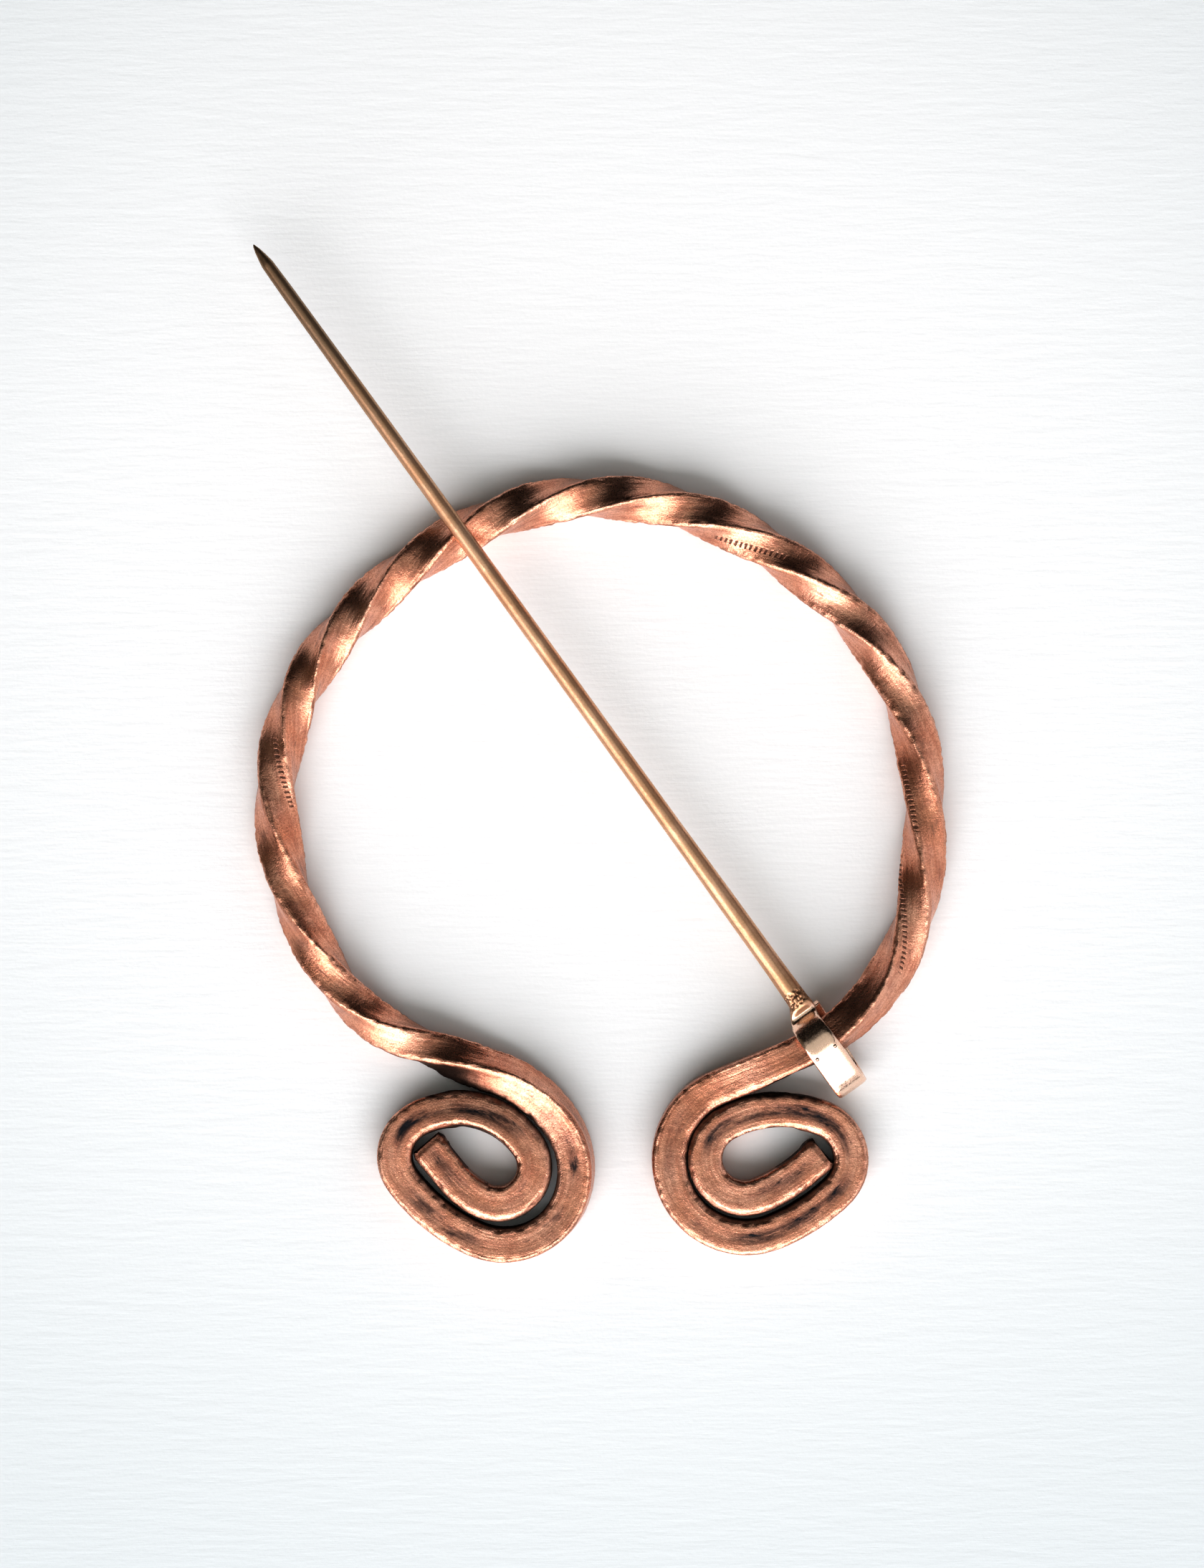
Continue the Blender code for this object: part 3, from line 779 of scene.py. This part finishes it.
# %% [markdown]
# Last come the colours, laid over each other like glazes, then the gloss, then the relief in
# millimetres. A mask that is multiplied by a small number gives a thin glaze.

# %% Copper's colours and relief
COPPER_DEEP, COPPER_PALE = (0.78, 0.37, 0.24, 1), (0.93, 0.53, 0.39, 1)
STAIN, DRAWN_LINES = (0.36, 0.15, 0.12, 1), (0.44, 0.16, 0.10, 1)
GRAIN_BROWN = (0.22, 0.08, 0.045, 1)
OXIDE_BLACK, RUBBED_EDGE = (0.025, 0.025, 0.03, 1), (0.97, 0.70, 0.56, 1)
# The second colour on the next line, the near black, is painted shade for the walls between turns.
MARK_BLACK, PAINTED_SHADE_BLACK = (0.02, 0.015, 0.012, 1), (0.012, 0.010, 0.009, 1)

colour = skin.blend(clouds.from_to(0.3, 0.7), COPPER_DEEP, COPPER_PALE)
for glaze, tint in (
        (mottle.from_to(0.45, 0.62) * 0.3, STAIN),
        (drawn.from_to(0.42, 0.62) * 0.35, DRAWN_LINES),
        (grain.from_to(0.42, 0.66) * 0.45, GRAIN_BROWN),
        (oxide, OXIDE_BLACK),
        (edge * mottle.from_to(0.25, 0.5) * 0.15, RUBBED_EDGE),
        (marks * 0.75, MARK_BLACK),
        # Painted shade: near black on the walls that closely face another turn.
        (sheltered * 0.95, PAINTED_SHADE_BLACK)):
    colour = skin.blend(glaze, colour, tint)
gloss_grain = grain.from_to(0.3, 0.7, -0.05, 0.1)
roughness = 0.28 + gloss_grain + oxide * 0.16 + marks * 0.3 + sheltered * 0.4
height = (grain * (0.026 + 0.030 * crumbly) + drawn * 0.032 + ripples * 0.010
          + mottle * (0.053 + 0.05 * crumbly) - marks * 0.05)
finish_surface(skin, colour, roughness, height * MM)
print("nodes in the copper:", len(skin.tree.nodes))

# %% [markdown]
# ## Bronze
# The pin is a yellower metal, more worn and so more polished, and dark towards the tip. Its
# patterns are noise in the pin's own directions, with fine scratches along the wire.

# %% Patterns on the bronze
LOOP_FULL, LOOP_ENDS = 2.8 * MM, 3.6 * MM
DARK_STARTS, DARK_FULL, DARK_UNEVEN = 52 * MM, 82 * MM, 24 * MM
FACET_TINT_SOFT = 0.15

skin = Tree(bronze.node_tree)
pin_along, pin_up = attribute(skin, "pin_along"), attribute(skin, "pin_up")
on_pin = skin.node("ShaderNodeCombineXYZ", {},
                   {0: pin_along, 1: attribute(skin, "pin_across"), 2: pin_up})
clouds = skin.noise(on_pin, 4 * MM, 4.0, 0.6, 11.0)
grain = skin.noise(on_pin, 0.14 * MM, 3.0, 0.6, 12.0)
scratches = skin.noise(skin.stretched(on_pin, x=0.08), 0.22 * MM, 3.0, 0.6, 13.0)
on_loop = 1 - pin_along.from_to(LOOP_FULL, LOOP_ENDS)
to_tip = (pin_along + (clouds - 0.5) * DARK_UNEVEN).from_to(DARK_STARTS, DARK_FULL)
in_facet = stretch_of(pin_along, FACET_START, FACET_END, FACET_TINT_SOFT)
print("nodes so far:", len(skin.tree.nodes))

# %% [markdown]
# Two grains of metal stick up on the loop's crest. They are given by their places seen from
# above, in millimetres, and kept off the loop's underside.

# %% Grains on the crest
GRAINS = ((18.80, -26.37), (20.33, -25.20))
GRAIN_TOP, GRAIN_FOOT = 0.04 * MM, 0.18 * MM
CREST_STARTS, CREST_FULL = 0.5 * MM, 1.0 * MM

seen_flat = skin.stretched(object_place(skin), z=0.0)
from_grains = [skin.distance(seen_flat, (x * MM, y * MM, 0)) for x, y in GRAINS]
grains = sum(1 - far.from_to(GRAIN_TOP, GRAIN_FOOT) for far in from_grains)
grains = grains * pin_up.from_to(CREST_STARTS, CREST_FULL)
print("nodes so far:", len(skin.tree.nodes))

# %% [markdown]
# The bronze is glazed as the copper is: its tone first, then the dark tip, the grain, the
# polished loop and the facet's broken skin.

# %% Bronze's colours and relief
BRONZE_DEEP, BRONZE_PALE = (0.68, 0.41, 0.25, 1), (0.84, 0.55, 0.38, 1)
TIP_BROWN, PIT_BROWN = (0.15, 0.11, 0.07, 1), (0.26, 0.15, 0.09, 1)
LOOP_PINK, CUT_BROWN = (0.92, 0.68, 0.55, 1), (0.16, 0.09, 0.05, 1)

colour = skin.blend(clouds.from_to(0.35, 0.65), BRONZE_DEEP, BRONZE_PALE)
for glaze, tint in ((to_tip * 0.75, TIP_BROWN),
                    (grain.from_to(0.4, 0.7) * 0.25, PIT_BROWN),
                    (on_loop * 0.9, LOOP_PINK),
                    (in_facet * grain.from_to(0.4, 0.6) * 0.7, CUT_BROWN)):
    colour = skin.blend(glaze, colour, tint)
roughness = 0.38 - on_loop * 0.15 + grain.from_to(0.3, 0.7, -0.04, 0.08)
height = (scratches * (0.007 - 0.002 * on_loop)
          + grain * (0.006 - 0.004 * on_loop + 0.06 * in_facet) + grains * 0.15)
finish_surface(skin, colour, roughness, height * MM)
print("nodes in the bronze:", len(skin.tree.nodes))

# %% [markdown]
# ## Handing the pieces to the frame
# Each fine piece takes its solid's place and moves with its body.

# %% Pieces and bodies
for piece, node, slot in ((ring, "ring", "copper"), (pin, "pin", "bronze")):
    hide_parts(node)
    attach(piece, node)
print("pieces:", ring.name, pin.name)

# %% [markdown]
# ## Paper, camera and light
# The brooch lies on a sheet of white paper. Laid paper has faint lines and loose fibres, which
# are noise again. The sheet's colour turns greyer and a little bluer away from a spot near its
# middle: that is painted shade, a painted falloff of the light towards the sheet's edges.

# %% The paper
PAPER_SIDE = 1.2
# The second colour on the next line is painted shade for the sheet's edges; the first is its own
# white.
PAPER_WHITE, PAPER_PAINTED_SHADE = (0.94, 0.965, 0.98, 1), (0.73, 0.785, 0.81, 1)
PAINTED_LIGHT_AT, PAINTED_LIGHT_REACH, PAINTED_SHADE_REACH = (0, 18 * MM, 0), 20 * MM, 110 * MM

paper = new_material("paper")
sheet = Tree(paper.node_tree)
place = object_place(sheet)
laid = sheet.noise(sheet.stretched(place, x=0.12), 0.7 * MM, 3.0, 0.6, 21.0)
fibres = sheet.noise(place, 0.4 * MM, 3.0, 0.6, 22.0)
# Painted shade: the paper's colour greys with distance from a brighter spot near its middle.
painted_falloff = sheet.distance(place, PAINTED_LIGHT_AT).from_to(PAINTED_LIGHT_REACH, PAINTED_SHADE_REACH)
paper_with_painted_shade = sheet.blend(painted_falloff, PAPER_WHITE, PAPER_PAINTED_SHADE)
finish_surface(sheet, paper_with_painted_shade, 0.9, (laid * 0.035 + fibres * 0.012) * MM, metallic=0.0)
half = PAPER_SIDE / 2
paper_mesh = bpy.data.meshes.new("paper_sheet")
paper_mesh.from_pydata([(-half, -half, 0), (half, -half, 0), (half, half, 0), (-half, half, 0)],
                       [], [(0, 1, 2, 3)])
floor = placed("paper_sheet", paper_mesh)
floor.data.materials.append(paper)
print("paper is", PAPER_SIDE, "m wide")

# %% [markdown]
# The camera looks straight down. It stands far enough off to see the brooch nearly without
# perspective, and its lens is worked out so that the picture is as wide as it should be at about
# the height of the metal's upper side.

# %% The camera
PICTURE_WIDE, PICTURE_HIGH = 1680, 2188
VIEW_WIDTH = 105 * MM
VIEW_MIDDLE = (0.15 * MM, -2.51 * MM)
CAMERA_HEIGHT, METAL_HEIGHT = 450 * MM, 2 * MM

camera_data = bpy.data.cameras.new("camera")
camera = placed("camera", camera_data)
camera.location = (*VIEW_MIDDLE, CAMERA_HEIGHT)
view_height = VIEW_WIDTH * PICTURE_HIGH / PICTURE_WIDE
camera_data.lens = camera_data.sensor_width * (CAMERA_HEIGHT - METAL_HEIGHT) / view_height
camera_data.clip_start = 0.01
bpy.context.scene.camera = camera
print("lens in mm:", round(camera_data.lens, 1))

# %% [markdown]
# One big window stands low on the side of the coils. A face that leans towards it shines, a level
# face has a middle tone, and one that leans away is dark, which is what makes the twist easy to
# read. Three weaker lights stand for what the room sends back: one low on the right, one almost
# overhead, and a faint warm one on the left that keeps the darkest faces from going black. Each
# light is aimed at the brooch.

# %% The light
def towards(azimuth, from_zenith, distance):
    """A place given as a compass angle from +X, an angle down from straight up, and a distance."""
    a, z = math.radians(azimuth), math.radians(from_zenith)
    level_reach = distance * math.sin(z)
    return (level_reach * math.cos(a), level_reach * math.sin(a), distance * math.cos(z))


def soft_light(name, place, width, height, watts, colour):
    data = bpy.data.lights.new(name, "AREA")
    data.shape = "RECTANGLE"
    data.size, data.size_y = width, height
    data.energy = watts
    data.color = colour
    light = placed(name, data)
    light.location = place
    light.rotation_euler = (-Vector(place)).to_track_quat("-Z", "Y").to_euler()


soft_light("window", towards(-98, 57, 1.4), width=2.1, height=1.6, watts=44.0,
           colour=(1.0, 0.965, 0.97))
soft_light("wall", towards(-12, 62, 1.4), width=2.0, height=1.4, watts=9.0,
           colour=(1.0, 0.98, 0.98))
soft_light("ceiling", towards(-98, 9, 1.5), width=1.5, height=1.4, watts=5.0,
           colour=(0.95, 0.98, 0.92))
soft_light("left wall", towards(185, 58, 1.5), width=1.8, height=1.2, watts=0.8,
           colour=(1.0, 0.86, 0.62))

# %% [markdown]
# A dim warm room fills the rest of what the metal mirrors. The view keeps colours as they are,
# and its gamma deepens the shadows as a photograph does.

# %% The room and the view
ROOM_COLOUR, ROOM_STRENGTH = (0.80, 0.68, 0.50, 1), 0.012
VIEW_GAMMA = 0.77

world = bpy.data.worlds.new("room")
bpy.context.scene.world = world
world.use_nodes = True
room = Tree(world.node_tree)
background = room.node("ShaderNodeBackground", {},
                       {"Color": ROOM_COLOUR, "Strength": ROOM_STRENGTH})
room.node("ShaderNodeOutputWorld", {}, {"Surface": background})
bpy.context.scene.view_settings.view_transform = "Standard"
bpy.context.scene.view_settings.gamma = VIEW_GAMMA
print("view gamma:", round(bpy.context.scene.view_settings.gamma, 2))

# %% [markdown]
# ## Inside the solids' boxes
# The fine pieces have to stay inside the box of the solids; their points were held at those boxes
# above.
